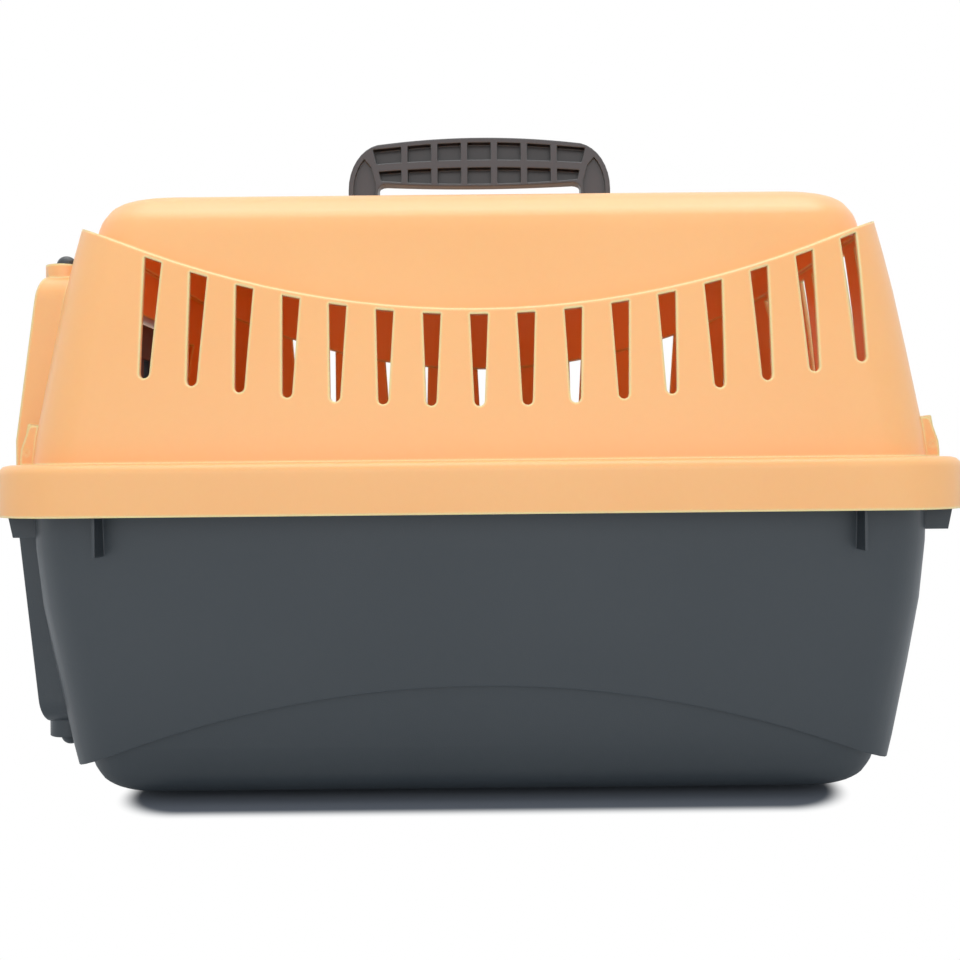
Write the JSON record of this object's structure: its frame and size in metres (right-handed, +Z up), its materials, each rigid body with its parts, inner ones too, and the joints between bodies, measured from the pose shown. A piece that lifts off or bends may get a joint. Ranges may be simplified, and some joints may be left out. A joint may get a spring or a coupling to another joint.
{
  "type": "pet carrier",
  "caption": "Two-shell moulded carrier for a small pet, with side and rear vents, a barred front door on sprung bolts and a folding carry handle.",
  "frame": {"origin": "on the floor, at the middle of the footprint (bottom centre of the whole carrier with its handle raised)", "axes": "+X along the length towards the rear wall, the door being at -X; +Y across the width; +Z up"},
  "size_m": [0.48, 0.315, 0.3735],
  "materials": {
    "peach_plastic": "satin moulded peach orange",
    "dark_plastic": "satin moulded dark grey",
    "spring_steel": "bright drawn wire"
  },
  "bodies": {
    "shells": {"bottom_shell": "dark_plastic", "top_shell": "peach_plastic"},
    "handle": {"carry_handle": "dark_plastic"},
    "door": {"door_grille": "dark_plastic", "hinge_spring_upper": "spring_steel", "hinge_spring_lower": "spring_steel", "latch_spring_upper": "spring_steel", "latch_spring_lower": "spring_steel"},
    "hinge_bolt_upper": {"hinge_bolt_upper": "dark_plastic"},
    "hinge_bolt_lower": {"hinge_bolt_lower": "dark_plastic"},
    "latch_bolt_upper": {"latch_bolt_upper": "dark_plastic"},
    "latch_bolt_lower": {"latch_bolt_lower": "dark_plastic"},
    "shell_clip_front_right": {"shell_clip_front_right": "peach_plastic"},
    "shell_clip_front_left": {"shell_clip_front_left": "peach_plastic"},
    "shell_clip_rear_right": {"shell_clip_rear_right": "peach_plastic"},
    "shell_clip_rear_left": {"shell_clip_rear_left": "peach_plastic"}
  },
  "joints": [
    {"name": "door_swing", "type": "hinge", "parent": "shells", "child": "door", "pos_m": [-0.221, -0.0849, 0.15325], "axis": [0, 0, 1], "range_deg": [0, 92]},
    {"name": "handle_fold", "type": "hinge", "parent": "shells", "child": "handle", "pos_m": [0, 0, 0.31], "axis": [1, 0, 0], "range_deg": [0, 90]},
    {"name": "hinge_bolt_upper_draw", "type": "slide", "parent": "door", "child": "hinge_bolt_upper", "axis": [0, 0, -1], "range_m": [0, 0.02], "stiffness_N_per_m": 200, "springref_m": -0.01, "deforming": ["hinge_spring_upper"]},
    {"name": "hinge_bolt_lower_draw", "type": "slide", "parent": "door", "child": "hinge_bolt_lower", "axis": [0, 0, 1], "range_m": [0, 0.02], "stiffness_N_per_m": 200, "springref_m": -0.01, "deforming": ["hinge_spring_lower"]},
    {"name": "latch_bolt_upper_shoot", "type": "slide", "parent": "door", "child": "latch_bolt_upper", "axis": [0, 0, 1], "range_m": [0, 0.02], "stiffness_N_per_m": 200, "springref_m": 0.03, "deforming": ["latch_spring_upper"]},
    {"name": "latch_bolt_lower_shoot", "type": "slide", "parent": "door", "child": "latch_bolt_lower", "axis": [0, 0, -1], "range_m": [0, 0.02], "stiffness_N_per_m": 200, "springref_m": 0.03, "deforming": ["latch_spring_lower"]},
    {"name": "clip_front_right_release", "type": "hinge", "parent": "shells", "child": "shell_clip_front_right", "pos_m": [-0.226, -0.1135, 0.1785], "axis": [0, 1, 0], "range_deg": [0, 5.5], "stiffness_Nm_per_rad": 0.02},
    {"name": "clip_front_left_release", "type": "hinge", "parent": "shells", "child": "shell_clip_front_left", "pos_m": [-0.226, 0.1135, 0.1785], "axis": [0, 1, 0], "range_deg": [0, 5.5], "stiffness_Nm_per_rad": 0.02},
    {"name": "clip_rear_right_release", "type": "hinge", "parent": "shells", "child": "shell_clip_rear_right", "pos_m": [0.226, -0.1135, 0.1785], "axis": [0, -1, 0], "range_deg": [0, 5.5], "stiffness_Nm_per_rad": 0.02},
    {"name": "clip_rear_left_release", "type": "hinge", "parent": "shells", "child": "shell_clip_rear_left", "pos_m": [0.226, 0.1135, 0.1785], "axis": [0, -1, 0], "range_deg": [0, 5.5], "stiffness_Nm_per_rad": 0.02}
  ]
}
